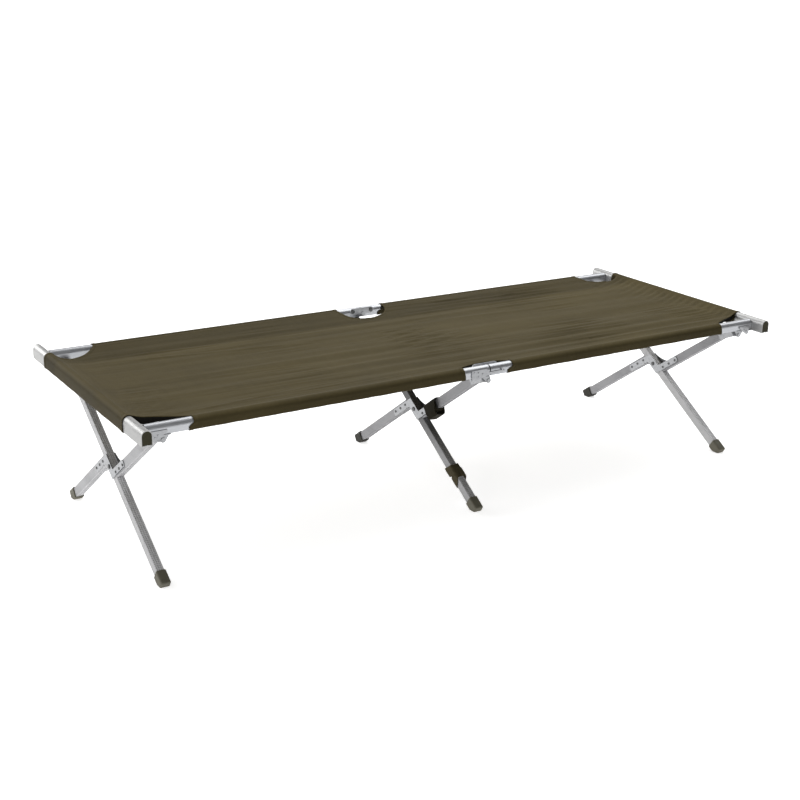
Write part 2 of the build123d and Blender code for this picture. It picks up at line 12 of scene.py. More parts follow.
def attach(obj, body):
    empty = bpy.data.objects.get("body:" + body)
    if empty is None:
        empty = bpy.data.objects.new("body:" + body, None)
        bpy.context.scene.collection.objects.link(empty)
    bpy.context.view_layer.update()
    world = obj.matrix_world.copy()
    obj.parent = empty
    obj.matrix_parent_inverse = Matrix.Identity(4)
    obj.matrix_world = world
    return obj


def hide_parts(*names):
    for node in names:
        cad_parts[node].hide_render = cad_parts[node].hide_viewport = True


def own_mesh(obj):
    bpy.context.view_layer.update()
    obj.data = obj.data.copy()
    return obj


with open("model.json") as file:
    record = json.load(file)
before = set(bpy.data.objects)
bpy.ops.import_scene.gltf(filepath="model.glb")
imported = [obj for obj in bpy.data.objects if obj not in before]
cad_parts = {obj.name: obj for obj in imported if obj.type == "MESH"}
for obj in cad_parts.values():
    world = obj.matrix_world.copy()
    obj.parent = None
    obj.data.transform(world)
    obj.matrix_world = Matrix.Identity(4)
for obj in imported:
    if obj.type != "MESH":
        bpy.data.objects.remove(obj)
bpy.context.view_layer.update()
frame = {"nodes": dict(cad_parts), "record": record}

MM = 0.001
LEG_A_ANGLE = radians(32.6)  # straight leg from the floor
LEG_B_ANGLE = radians(35.3)  # cranked leg from the floor
BACK_CREASE = 196.0  # y in mm of the cloth's crease along its back side
KNURL_PITCH = 0.0056  # metres between the dots on a leg
ALONG_X = (0.02, 1, 1)  # stretches of a texture's space, for lines that run along X or Y
ALONG_Y = (1, 0.02, 1)


# ---------------------------------------------------------------- materials


class Nodes:
    """A new material with its shader, and short ways to add and join nodes."""

    def __init__(self, name, base, rough, metal=0.0):
        self.mat = bpy.data.materials.new(name)
        self.mat.use_nodes = True
        self.tree = self.mat.node_tree
        self.bsdf = self.tree.nodes["Principled BSDF"]
        self.set("Base Color", (*base, 1.0))
        self.set("Roughness", rough)
        self.set("Metallic", metal)
        self.coord = self.add("ShaderNodeTexCoord")

    def set(self, socket, value):
        self.bsdf.inputs[socket].default_value = value

    def add(self, kind, **props):
        node = self.tree.nodes.new(kind)
        for key, value in props.items():
            setattr(node, key, value)
        return node

    def link(self, out, into):
        self.tree.links.new(out, into)

    def mapped(self, scale, rotation=(0, 0, 0)):
        node = self.add("ShaderNodeMapping")
        node.inputs["Scale"].default_value = scale
        node.inputs["Rotation"].default_value = rotation
        self.link(self.coord.outputs["Object"], node.inputs["Vector"])
        return node.outputs["Vector"]

    def noise(self, scale, detail=3.0, stretch=(1, 1, 1), rotation=(0, 0, 0), rough=0.55):
        node = self.add("ShaderNodeTexNoise")
        node.inputs["Scale"].default_value = scale
        node.inputs["Detail"].default_value = detail
        node.inputs["Roughness"].default_value = rough
        self.link(self.mapped(stretch, rotation), node.inputs["Vector"])
        return node.outputs["Fac"]

    def wave(self, pitch, direction="X", rotation=(0, 0, 0)):
        """Bands one pitch apart, in metres."""
        node = self.add("ShaderNodeTexWave", bands_direction=direction)
        node.inputs["Scale"].default_value = 2 * pi / (20 * pitch)
        self.link(self.mapped((1, 1, 1), rotation), node.inputs["Vector"])
        return node.outputs["Fac"]

    def math(self, op, a, b=None):
        node = self.add("ShaderNodeMath", operation=op)
        for i, value in enumerate((a, b)):
            if value is None:
                continue
            if isinstance(value, (int, float)):
                node.inputs[i].default_value = value
            else:
                self.link(value, node.inputs[i])
        return node.outputs[0]

    def mix(self, *weighted):
        """Sum of (output, weight) pairs."""
        total = None
        for out, weight in weighted:
            term = self.math("MULTIPLY", out, weight)
            total = term if total is None else self.math("ADD", total, term)
        return total

    def ramp(self, fac, *stops):
        node = self.add("ShaderNodeValToRGB")
        ramp = node.color_ramp
        while len(ramp.elements) < len(stops):
            ramp.elements.new(0.5)
        for element, (position, colour) in zip(ramp.elements, stops):
            element.position = position
            element.color = (*colour, 1.0)
        self.link(fac, node.inputs["Fac"])
        return node.outputs["Color"]

    def range(self, fac, low, high):
        node = self.add("ShaderNodeMapRange")
        node.inputs["To Min"].default_value = low
        node.inputs["To Max"].default_value = high
        self.link(fac, node.inputs["Value"])
        return node.outputs["Result"]

    def bump(self, height, strength, distance, normal=None):
        node = self.add("ShaderNodeBump")
        node.inputs["Strength"].default_value = strength
        node.inputs["Distance"].default_value = distance
        self.link(height, node.inputs["Height"])
        if normal is not None:
            self.link(normal, node.inputs["Normal"])
        return node.outputs["Normal"]

    def into(self, out, socket):
        self.link(out, self.bsdf.inputs[socket])

    def parts(self, vector, axis):
        node = self.add("ShaderNodeSeparateXYZ")
        self.link(vector, node.inputs[0])
        return node.outputs[axis]

    def step(self, fac, start, stop, low, high):
        """Smooth change from low to high as fac goes from start to stop."""
        node = self.add("ShaderNodeMapRange", interpolation_type="SMOOTHSTEP")
        for name, value in (("From Min", start), ("From Max", stop), ("To Min", low), ("To Max", high)):
            node.inputs[name].default_value = value
        self.link(fac, node.inputs["Value"])
        return node.outputs["Result"]

    def scaled(self, colour, share):
        """The colour made darker or lighter by share."""
        node = self.add("ShaderNodeVectorMath", operation="SCALE")
        self.link(colour, node.inputs[0])
        self.link(share, node.inputs["Scale"])
        return node.outputs[0]

    def off_x(self):
        """1 on faces that look across or up, 0 on faces that look along the bed."""
        along = self.math("ABSOLUTE", self.parts(self.coord.outputs["Normal"], "X"))
        return self.math("SUBTRACT", 1.0, along)


def shades(base, dark, light):
    return tuple(c * dark for c in base), tuple(min(1.0, c * light) for c in base)


def drawn_aluminium(name, base, rough, stretch, rotation=(0, 0, 0), knurl=False, metal=1.0,
                    painted_shade_share=1.0):
    """Extruded aluminium: fine drawing lines, cloudy anodising and small scuffs.

    A knurled leg has dots on its narrow faces and painted shade on its wide ones, and painted shade
    darkens its colour towards the cross pin, down to the given share of itself.
    """
    m = Nodes(name, base, rough, metal)
    lines = m.noise(800.0, 2.0, stretch, rotation)
    cloud = m.noise(11.0, 4.0)
    scuff = m.noise(70.0, 5.0, rough=0.7)
    dark, light = shades(base, 0.60 if knurl else 0.80, 1.10)
    tone = m.mix((lines, 0.40), (cloud, 0.45), (scuff, 0.15))
    normal = m.bump(lines, 0.12, 0.0003)
    if knurl:
        one = m.wave(KNURL_PITCH, "X", rotation)
        two = m.wave(KNURL_PITCH, "Y", rotation)
        across = m.off_x()
        cross = m.math("MULTIPLY", m.math("MULTIPLY", one, two), across)
        tone = m.math("SUBTRACT", tone, m.math("MULTIPLY", cross, 0.55))
        normal = m.bump(cross, 0.80, 0.0009, normal)
    colour = m.ramp(tone, (0.30, dark), (0.52, base), (0.80, light))
    if knurl:
        # painted shade: darker towards the cross pin, and darker on the wide faces than on the narrow ones
        up = m.parts(m.coord.outputs["Object"], "Z")
        height = m.step(up, 0.05, 0.20, 1.0, painted_shade_share)
        painted_face_shade = m.step(across, 0.2, 0.8, 0.60, 1.12)
        colour = m.scaled(colour, m.math("MULTIPLY", height, painted_face_shade))
    m.into(colour, "Base Color")
    m.into(m.range(m.mix((scuff, 0.6), (lines, 0.4)), rough - 0.10, rough + 0.16), "Roughness")
    m.into(normal, "Normal")
    return m.mat


def leg_aluminium(name, base, rough, angle, metal, painted_shade_share=1.0):
    """Knurled aluminium whose drawing lines run up a leg at this angle from the floor."""
    return drawn_aluminium(name, base, rough, ALONG_Y, (angle, 0, 0), True, metal, painted_shade_share)


def plated_steel(name, base, rough):
    """Zinc plating: mottled spangle, slightly uneven gloss."""
    m = Nodes(name, base, rough, 1.0)
    spangle = m.add("ShaderNodeTexVoronoi", feature="F1")
    spangle.inputs["Scale"].default_value = 160.0
    m.link(m.coord.outputs["Object"], spangle.inputs["Vector"])
    cloud = m.noise(45.0, 5.0)
    dark, light = shades(base, 0.70, 1.12)
    m.into(m.ramp(m.mix((spangle.outputs["Distance"], 0.6), (cloud, 0.7)),
                  (0.25, dark), (0.5, base), (0.8, light)), "Base Color")
    m.into(m.range(cloud, rough - 0.08, rough + 0.14), "Roughness")
    m.into(m.bump(m.noise(700.0, 3.0), 0.08, 0.0003), "Normal")
    return m.mat


def moulded(name, base, rough, grain, depth, gloss=0.5):
    """Moulded rubber or plastic: fine pebble grain and rubbed, paler high spots."""
    m = Nodes(name, base, rough)
    m.set("Specular IOR Level", gloss)
    fine = m.noise(grain, 4.0)
    cloud = m.noise(30.0, 4.0)
    dark, light = shades(base, 0.70, 1.45)
    m.into(m.ramp(m.mix((fine, 0.5), (cloud, 0.5)), (0.3, dark), (0.55, base), (0.8, light)), "Base Color")
    m.into(m.range(cloud, rough - 0.08, rough + 0.1), "Roughness")
    m.into(m.bump(fine, 0.25, depth), "Normal")
    return m.mat


def woven(name, base, pitch, rough, sheen, depth, slub=0.12, painted_shading=False):
    """Plain weave: crossed waves, slubs and a soft sheen.

    Where asked, painted shade makes the cloth palest where it faces up and a little darker behind the
    crease along its back side.
    """
    m = Nodes(name, base, rough)
    m.set("Sheen Weight", sheen)
    m.set("Sheen Roughness", 0.35)
    m.set("Sheen Tint", (1.0, 0.88, 0.62, 1.0))
    m.set("Specular IOR Level", 0.05)
    weave = m.mix((m.math("MULTIPLY", m.wave(pitch, "X"), m.wave(pitch, "Y")), 0.75),
                  (m.wave(pitch, "Z"), 0.25))
    slubs = m.noise(140.0, 3.0, (0.06, 1, 1))
    cross = m.noise(140.0, 3.0, (1, 0.06, 1))
    cloud = m.noise(3.2, 5.0)
    patch = m.noise(14.0, 4.0, (0.3, 1, 1))
    shade = m.mix((cloud, 0.36), (patch, 0.30), (slubs, slub), (cross, slub), (weave, 0.12))
    dark, light = shades(base, 0.68, 1.30)
    colour = m.ramp(shade, (0.30, dark), (0.50, base), (0.74, light))
    if painted_shading:
        # painted shade: darker on faces that look sideways, and darker behind the back crease
        up = m.parts(m.coord.outputs["Normal"], "Z")
        across = m.parts(m.coord.outputs["Object"], "Y")
        painted_face_shade = m.step(up, 0.30, 0.97, 0.50, 1.0)
        side = m.step(across, BACK_CREASE * MM - 0.010, BACK_CREASE * MM + 0.010, 1.0, 0.76)
        colour = m.scaled(colour, m.math("MULTIPLY", painted_face_shade, side))
    m.into(colour, "Base Color")
    m.into(m.range(patch, rough - 0.06, rough + 0.08), "Roughness")
    m.into(m.bump(slubs, 0.10, 0.0005, m.bump(weave, depth, 0.0004)), "Normal")
    return m.mat


RAIL = drawn_aluminium("aluminium_rail", (0.46, 0.47, 0.49), 0.32, ALONG_X)
BAR = drawn_aluminium("aluminium_bar", (0.40, 0.40, 0.395), 0.44, ALONG_Y)
LEG_A = leg_aluminium("aluminium_leg_a", (0.78, 0.78, 0.79), 0.50, -LEG_A_ANGLE, 0.40)
LEG_B = leg_aluminium("aluminium_leg_b", (0.64, 0.64, 0.655), 0.48, LEG_B_ANGLE, 0.40)
# painted shade: a darker, shinier copy of the straight leg's aluminium for the middle set's leg in shade
LEG_A_SHADED = leg_aluminium("aluminium_leg_a_painted_shade", (0.62, 0.62, 0.63), 0.44, -LEG_A_ANGLE, 0.60, 0.30)
# painted shade: a darker copy of the cranked legs' aluminium for the middle and right sets
LEG_B_PAINTED_SHADE = leg_aluminium("aluminium_leg_b_painted_shade", (0.46, 0.46, 0.475), 0.46, LEG_B_ANGLE, 0.55)
STEEL = plated_steel("plated_steel", (0.33, 0.335, 0.345), 0.36)
STEEL_DULL = plated_steel("dull_steel", (0.10, 0.10, 0.10), 0.42)
RUBBER = moulded("olive_rubber", (0.108, 0.100, 0.068), 0.58, 420.0, 0.0008)
# painted shade: a near-black copy of the olive rubber for the feet in shade
RUBBER_PAINTED_SHADE = moulded("rubber_painted_shade", (0.026, 0.025, 0.018), 0.58, 420.0, 0.0008, 0.25)
PLASTIC = moulded("olive_plastic", (0.034, 0.032, 0.016), 0.60, 600.0, 0.0004, 0.15)
# the canvas carries painted shade on its sides and behind its back crease
CANVAS = woven("olive_canvas", (0.0830, 0.0660, 0.0285), 0.0011, 0.58, 0.02, 0.22, 0.20, painted_shading=True)
# painted shade: a near-black copy of the olive webbing for the strap in shade at the cross plates
WEBBING_PAINTED_SHADE = woven("webbing_painted_shade", (0.016, 0.014, 0.008), 0.0022, 0.68, 0.03, 0.55)
OLIVE_WEBBING = woven("olive_webbing", (0.064, 0.054, 0.030), 0.0022, 0.66, 0.04, 0.55)
# painted shade: near-black cloth for the hems that hang into the shade under the cutouts
UNDERSIDE_PAINTED_SHADE = woven("underside_painted_shade", (0.010, 0.009, 0.007), 0.0011, 0.60, 0.02, 0.22)
THREAD = woven("olive_thread", (0.105, 0.086, 0.046), 0.0006, 0.50, 0.06, 0.30)

BY_SLOT = {
    "rail_aluminium": RAIL,
    "bar_aluminium": BAR,
    "plated_steel": STEEL,
    "rivet_steel": STEEL_DULL,
    "olive_rubber": RUBBER,
    "olive_plastic": PLASTIC,
    "canvas": CANVAS,
    "webbing": WEBBING_PAINTED_SHADE,
}
BY_NODE = {
    "leg_a_left": LEG_A,
    "leg_a_middle": LEG_A_SHADED,
    "leg_a_right": LEG_A,
    # painted shade: the two back feet in shade take the near-black rubber
    "foot_back_middle": RUBBER_PAINTED_SHADE,
    "foot_back_right": RUBBER_PAINTED_SHADE,
}
# painted shade: the middle and right sets' cranked legs take the darker copy
for leg_set, metal in (("left", LEG_B), ("middle", LEG_B_PAINTED_SHADE), ("right", LEG_B_PAINTED_SHADE)):
    for half in ("upper", "lower"):
        BY_NODE[f"leg_b_{half}_{leg_set}"] = metal
for part in frame["record"]["subparts"]:
    node, slot = part["node"], part["material_slot"]
    mesh = frame["nodes"][node].data
    mesh.materials.clear()
    mesh.materials.append(BY_NODE[node] if node in BY_NODE else BY_SLOT[slot])


# ---------------------------------------------------------------- canvas shape, in mm

RAIL_Y = 322.0
RAIL_TOP = 411.0
RAIL_BOTTOM = 385.0
RAIL_HALF = 12.5
BAR_X = 935.0
BAR_TOP = 416.0
BAR_BOTTOM = 380.5
BAR_HALF = 13.0
CLOTH = 0.9  # the cloth's thickness
EASE = 0.5  # gap between a tube and its sleeve
LEAVE = radians(26)  # the sheet leaves a tube's round top at this angle from its crown
END_SLEEVE = (-266.0, 280.0)  # y of the end sleeves' two ends
SLEEVE_ENDS = {"left": (-808.0, -78.0), "right": (70.0, 802.0)}  # x of the rail sleeves' two ends
RAIL_SKEW = {"left": (12.0, 2.0), "right": (16.0, 2.0)}  # how far their undersides reach past those
LINK_X = 30.0  # the middle hinge's pins are this far each side of the bed's middle
CROSS_Z = 196.0  # height of the cross pins
LEVEL = 403.5  # height of the cloth near its edges, before it rises to the tubes
SAG = 1.8  # how much lower its middle is
SLACK_TOP = 400.0  # a sleeve is tight above this height
rng = np.random.default_rng(7)


def leave_point(centre, half, top):
    """Where the sheet leaves a tube: distance from the bed's middle line, and height."""
    r = half + EASE + CLOTH / 2
    return centre - r * sin(LEAVE), top - half + r * cos(LEAVE)


SHEET_Y, RAIL_EDGE = leave_point(RAIL_Y, RAIL_HALF, RAIL_TOP)
SHEET_X, BAR_EDGE = leave_point(BAR_X, BAR_HALF, BAR_TOP)


def smooth(t):
    t = np.clip(t, 0.0, 1.0)
    return t * t * (3 - 2 * t)


class Field:
    """Smooth seeded noise over the bed: a sum of waves near one direction."""

    def __init__(self, direction, wavelength, spread, count):
        angles = direction + rng.normal(0, spread, count)
        lengths = wavelength * rng.uniform(0.6, 1.7, count)
        self.kx = 2 * pi / lengths * np.cos(angles)
        self.ky = 2 * pi / lengths * np.sin(angles)
        self.phase = rng.uniform(0, 2 * pi, count)
        self.scale = sqrt(2.0 / count)

    def at(self, x, y):
        total = 0.0
        for kx, ky, p in zip(self.kx, self.ky, self.phase):
            total = total + np.sin(kx * x + ky * y + p)
        return total * self.scale


ACROSS = pi / 2
LONG_RIPPLE = Field(ACROSS, 58.0, 0.030, 9)
FINE_RIPPLE = Field(ACROSS, 17.0, 0.045, 9)
WIDE_RIPPLE = Field(ACROSS, 110.0, 0.02, 4)
SHORT_RIPPLE = Field(ACROSS + 0.10, 23.0, 0.16, 9)
WHERE = Field(0.4, 640.0, 1.2, 6)
WHERE_FINE = Field(1.0, 300.0, 1.2, 6)
SOFT = Field(0.9, 420.0, 1.5, 7)

FOLD_CREASE = LINK_X  # x of the crease across the bed, over the right pins of the middle hinge
# creases along the whole bed: y, width and height
LONG_CREASES = ((200.0, 5.0, 1.3), (150.0, 7.0, 0.9), (104.0, 7.0, 0.6), (-276.0, 3.5, 0.9),
                (-30.0, 7.0, 0.6), (-140.0, 9.0, 0.6))
# shorter ones: x and y of the start, slant, length, width and height
CREASES = ((-770.0, 204.0, -0.066, 620.0, 4.5, 2.2), (-790.0, 164.0, -0.150, 600.0, 4.5, 2.0),
           (-780.0, -279.0, 0.114, 420.0, 4.0, 1.5), (-661.0, -58.0, -0.055, 380.0, 4.5, 1.5),
           (-300.0, 40.0, -0.08, 420.0, 4.0, 0.9), (120.0, 120.0, -0.10, 420.0, 5.0, 1.0),
           (-120.0, -88.0, -0.12, 300.0, 4.0, 1.0), (60.0, -120.0, -0.08, 380.0, 5.0, 0.9))


def ridge(d, width):
    return np.exp(-(d / width) ** 2)


def from_edges(x, y):
    """How far a point is inside the sheet's ends and its sides, cutouts left out."""
    return np.clip(SHEET_X - np.abs(x), 0, None), np.clip(SHEET_Y - np.abs(y), 0, None)


def stretched(x, y):
    """Height of the cloth with no wrinkles: it sags, and rises to the rails and end bars."""
    in_x, in_y = from_edges(x, y)
    level = LEVEL - SAG * (1 - (np.abs(y) / SHEET_Y) ** 2) * (1 - (np.abs(x) / SHEET_X) ** 6)
    rail_rise = (RAIL_EDGE - level) * (0.58 * np.exp(-in_y / 9.0) + 0.42 * np.exp(-(in_y / 62.0) ** 1.6))
    end_rise = (BAR_EDGE - level) * (0.62 * np.exp(-in_x / 15.0) + 0.38 * np.exp(-in_x / 60.0))
    # the back side comes down in one long slope to a crease
    slope = np.clip((y - BACK_CREASE) / (SHEET_Y - BACK_CREASE), 0, 1) * 4.0
    slope = slope * smooth(in_x / 120.0) * smooth(in_y / 12.0)
    z = level + rail_rise + end_rise - rail_rise * end_rise / 14.0 + slope
    # nothing holds the edge up at the cutouts, so it hangs a little lower there
    z = z - 2.0 * np.exp(-((x + 4.0) / 75.0) ** 4) * np.exp(-in_y / 90.0)
    return z - 3.0 * np.exp(-(in_x / 110.0) ** 4) * np.exp(-(in_y / 80.0) ** 2) * smooth(in_x / 30.0)


def wrinkles(x, y, patch, fine):
    """Long wrinkles along the bed, deeper towards the right, and short ones round its middle."""
    in_x, in_y = from_edges(x, y)
    inner = smooth(in_y / 55.0) * smooth(in_x / 90.0)
    right = 0.45 + 0.55 * smooth((x + 560.0) / 800.0)
    z = 0.50 * LONG_RIPPLE.at(x, y) + 0.36 * FINE_RIPPLE.at(x, y) * fine + 0.35 * WIDE_RIPPLE.at(x, y)
    z = inner * right * 2.6 * z * (0.40 + 0.60 * patch) + 0.4 * inner * SOFT.at(x, y)
    middle = np.exp(-((x - 40.0) / 190.0) ** 2 - ((y + 10.0) / 130.0) ** 2)
    return z + 0.8 * middle * SHORT_RIPPLE.at(x, y) * fine


def creases(x, y, patch):
    """The crease from folding the bed, and those that stand along it."""
    in_x, _ = from_edges(x, y)
    z = 0.55 * ridge(x - FOLD_CREASE, 3.0) * smooth((y + 250.0) / 60.0) * smooth((170.0 - y) / 60.0)
    bend = 4.0 * np.sin(x / 210.0)
    for y0, width, tall in LONG_CREASES:
        z = z + tall * ridge(y - y0 - bend, width) * smooth(in_x / 160.0) * (0.6 + 0.4 * patch)
    for x0, y0, slant, length, width, tall in CREASES:
        along = (x - x0) / length
        keep = smooth(along * 9.0) * smooth((1.0 - along) * 2.2)
        z = z + tall * keep * ridge(y - y0 - slant * (x - x0), width)
    return z


def puckers(x, y, fine):
    """Short gathers pulled in beside the right end sleeve, longest towards the back."""
    _, in_y = from_edges(x, y)
    away = SHEET_X - x
    reach = 42.0 + 95.0 * smooth((y + 260.0) / 520.0)
    fade = np.exp(-(away / reach) ** 2) * smooth(away / 14.0)
    lean = y + 0.42 * away
    z = np.sin(2 * pi * lean / 27.0 + 0.7 * np.sin(lean / 41.0))
    return fade * 1.4 * z * smooth(in_y / 50.0) * (0.55 + 0.45 * fine)


def fan(x, y):
    """Finer gathers that spread from the front corner beside the left end sleeve."""
    _, in_y = from_edges(x, y)
    away = x + SHEET_X
    angle = np.arctan2(y + 330.0, away + 60.0)  # about a point just past the corner
    fade = np.exp(-(away / 120.0) ** 2) * smooth(away / 16.0) * smooth(in_y / 60.0)
    return fade * 0.55 * np.sin(angle * 46.0) * smooth((300.0 - np.abs(y)) / 120.0)


def sheet_height(x, y):
    """Height of the cloth's middle surface."""
    patch = smooth(0.5 + 0.42 * WHERE.at(x, y))
    fine = smooth(0.45 + 0.5 * WHERE_FINE.at(x, y))
    z = stretched(x, y) + wrinkles(x, y, patch, fine) + creases(x, y, patch)
    return z + puckers(x, y, fine) + fan(x, y)


# depth, and the share of its length where it is deepest, of each arc cut out of the sheet's edges
# side -1 is the front and 1 the back
MIDDLE_ARC = {-1: (32.0, 0.55), 1: (90.0, 0.36)}
CORNER_ARC = {
    ("left", -1): (17.0, 0.50),
    ("left", 1): (54.0, 0.63),
    ("right", -1): (8.0, 0.50),
    ("right", 1): (60.0, 0.30),
}


def arc(t, deepest):
    """0 at both ends, 1 at the deepest place, square to the edge where it starts."""
    t = min(max(t, 0.0), 1.0) ** (np.log(0.5) / np.log(deepest))
    return sqrt(max(0.0, 1 - (2 * t - 1) ** 2))


def half_width(x, side):
    """The sheet's edge at x on one side (-1 front, 1 back), cutouts included."""
    edge = float(SHEET_Y)
    start, stop = SLEEVE_ENDS["left"][1], SLEEVE_ENDS["right"][0]
    if start < x < stop:
        depth, deepest = MIDDLE_ARC[side]
        edge -= depth * arc((x - start) / (stop - start), deepest)
    end = "left" if x < 0 else "right"
    limit = -SLEEVE_ENDS["left"][0] if x < 0 else SLEEVE_ENDS["right"][1]
    if abs(x) > limit:
        depth, deepest = CORNER_ARC[end, side]
        end_y = abs(END_SLEEVE[0 if side < 0 else 1])
        t = min((abs(x) - limit) / (SHEET_X - limit), 1.0)
        edge -= (edge - end_y) * t + depth * arc(t, deepest)
    return edge


def stations(start, stop, pitch, dense=()):
    """Places from start to stop, closer together near the dense ones."""
    xs = [start]
    while xs[-1] < stop - 1e-6:
        near = min((abs(xs[-1] - d) for d in dense), default=1e9)
        share = 0.07 if near < 2.2 else 0.2 if near < 12 else 0.5 if near < 40 else 1.0
        xs.append(min(stop, xs[-1] + pitch * share))
    return xs


def new_object(name, verts, faces, material):
    """A smooth-shaded mesh from points in mm, its normals made to agree."""
    mesh = bpy.data.meshes.new(name)
    mesh.from_pydata([tuple(c * MM for c in v) for v in verts], [], faces)
    mesh.materials.append(material)
    bm = bmesh.new()
    bm.from_mesh(mesh)
    bmesh.ops.recalc_face_normals(bm, faces=bm.faces)
    bm.to_mesh(mesh)
    bm.free()
    mesh.polygons.foreach_set("use_smooth", [True] * len(mesh.polygons))
    obj = bpy.data.objects.new(name, mesh)
    bpy.context.scene.collection.objects.link(obj)
    return obj


def thicken(obj, thick):
    """Gives cloth its thickness, with crisp cut edges."""
    mod = obj.modifiers.new("cloth", "SOLIDIFY")
    mod.thickness = thick * MM
    mod.offset = 0.0
    bpy.context.view_layer.update()
    graph = bpy.context.evaluated_depsgraph_get()
    mesh = bpy.data.meshes.new_from_object(obj.evaluated_get(graph))
    obj.modifiers.clear()
    obj.data = mesh
    mesh.set_sharp_from_angle(angle=radians(50))
    return obj


def sheet_grid(start, stop, rows):
    """Points over the bed cloth from x start to stop, closer together towards its edges."""
    xs = stations(start, stop, 7.0, [*SLEEVE_ENDS["left"], *SLEEVE_ENDS["right"], -SHEET_X, SHEET_X])
    s = np.linspace(-1, 1, rows + 1)
    s = np.sign(s) * (1 - (1 - np.abs(s)) ** 1.18)
    verts = []
    for x in xs:
        front, back = -half_width(x, -1), half_width(x, 1)
        ys = (front + back) / 2 + s * (back - front) / 2
        zs = sheet_height(np.full_like(ys, x), ys)
        verts += [(x, y, z) for y, z in zip(ys, zs)]
    return verts, len(xs)


def grid_faces(columns, rows):
    """Quads that join columns of points, rows quads high."""
    row = rows + 1
    return [(i * row + j, i * row + j + row, i * row + j + row + 1, i * row + j + 1)
            for i in range(columns - 1) for j in range(rows)]


def sheet(name, start, stop):
    """A length of the bed cloth between the two rails."""
    rows = 168
    verts, columns = sheet_grid(start, stop, rows)
    return thicken(new_object(name, verts, grid_faces(columns, rows), CANVAS), CLOTH)


def sleeve_profile(centre, half, bottom, top, way):
    """Section of a sleeve round a tube, from where the sheet leaves it, out, under and back up."""
    r = half + EASE + CLOTH / 2
    middle = top - half
    low = bottom - EASE - CLOTH / 2
    c = 3.0  # radius of the lower corners
    quarter = np.linspace(0, pi / 2, 5)[1:]
    loop = [(-r * sin(a), middle + r * cos(a)) for a in np.linspace(LEAVE, -pi / 2, 17)]
    loop += [(r, z) for z in np.linspace(middle, low + c, 6)[1:]]
    loop += [(r - c + c * cos(a), low + c - c * sin(a)) for a in quarter]
    loop += [(x, low) for x in np.linspace(r - c, c - r, 7)[1:]]
    loop += [(c - r - c * sin(a), low + c - c * cos(a)) for a in quarter]
    loop += [(-r, z) for z in np.linspace(low + c, middle, 6)[1:]]
    loop += [(r * sin(a), middle + r * cos(a)) for a in np.linspace(-pi / 2, -LEAVE, 7)[1:-1]]
    return [(centre + way * u, z) for u, z in loop]


def perimeter(profile):
    ends = zip(profile, profile[1:] + profile[:1])
    return sum(sqrt((a[0] - b[0]) ** 2 + (a[1] - b[1]) ** 2) for a, b in ends)


def sleeve(name, profile, start, stop, along, seed, skew=(0.0, 0.0)):
    """Cloth tube swept along X or Y, a little loose low down, with a turned hem at each end.

    Its underside reaches past the two ends by the skew.
    """
    waves = np.random.default_rng(seed).uniform(0, 2 * pi, 4)
    cv = sum(p[0] for p in profile) / len(profile)
    cz = sum(p[1] for p in profile) / len(profile)
    verts, faces = [], []
    n = len(profile)
    places = stations(start, stop, 9.0, (start, stop))
    for p in places:
        from_end = min(p - start, stop - p)
        # the hem is a thicker band 10 mm wide, with a shallow dip behind it
        hem = 0.7 * smooth((10.0 - from_end) / 1.5) - 0.25 * ridge(from_end - 12.0, 2.0)
        for k, (v, z) in enumerate(profile):
            low = smooth((SLACK_TOP - z) / 16.0)
            low_end = smooth((cz + 6 - z) / 12.0)
            reach = skew[1] * smooth((p - stop + 45) / 45) - skew[0] * smooth((start + 45 - p) / 45)
            shift = low_end * reach
            wave = sin(p / 37.0 + waves[0] + k * 0.2) + 0.6 * sin(p / 13.0 + waves[1] + k * 0.45)
            slack = 0.45 * low * wave
            out = Vector((v - cv, z - cz)).normalized() * (abs(slack) + hem)
            at = p + shift
            verts.append((at, v + out.x, z + out.y) if along == "X" else (v + out.x, at, z + out.y))
    for i in range(len(places) - 1):
        for k in range(n):
            a, b = i * n + k, i * n + (k + 1) % n
            faces.append((a, b, b + n, a + n))
    return thicken(new_object(name, verts, faces, CANVAS), CLOTH)


def stitches(name, path, pitch=4.4, length=3.0, width=0.9, rise=0.35):
    """A row of sewn stitches along a path of points in mm that lies on the cloth."""
    path = [Vector(p) for p in path]
    verts, faces = [], []
    run = 0.0
    for a, b in zip(path, path[1:]):
        step = (b - a).length
        way = (b - a) / step
        side = way.cross(Vector((0, 0, 1))).normalized() * width / 2
        while run < step:
            c = a + way * run
            k = len(verts)
            for along, lift in ((-length / 2, 0.0), (-length / 5, rise),
                                (length / 5, rise), (length / 2, 0.0)):
                share = 1.0 if lift else 0.5  # a stitch narrows at its two ends
                for sgn in (-1, 1):
                    point = c + way * along + side * sgn * share + Vector((0, 0, lift + 0.1))
                    verts.append(tuple(point))
            for q in range(3):
                faces.append((k + 2 * q, k + 2 * q + 1, k + 2 * q + 3, k + 2 * q + 2))
            run += pitch
        run -= step
    return new_object(name, verts, faces, THREAD)


def edge_path(start, stop, side, pitch=3.0):
    """Points along the sheet's edge at an even spacing, each with its inward way."""
    xs = stations(start, stop, 2.0, (start, stop))
    points = [Vector((x, side * half_width(x, side))) for x in xs]
    run = [0.0]
    for p, q in zip(points, points[1:]):
        run.append(run[-1] + (q - p).length)
    places = np.linspace(0, run[-1], max(4, int(run[-1] / pitch)))
    px, py = [p.x for p in points], [p.y for p in points]
    path = [Vector((np.interp(d, run, px), np.interp(d, run, py))) for d in places]
    out = []
    for i, p in enumerate(path):
        way = (path[min(i + 1, len(path) - 1)] - path[max(i - 1, 0)]).normalized()
        out.append((p, Vector((way.y, -way.x)) * side))
    return out


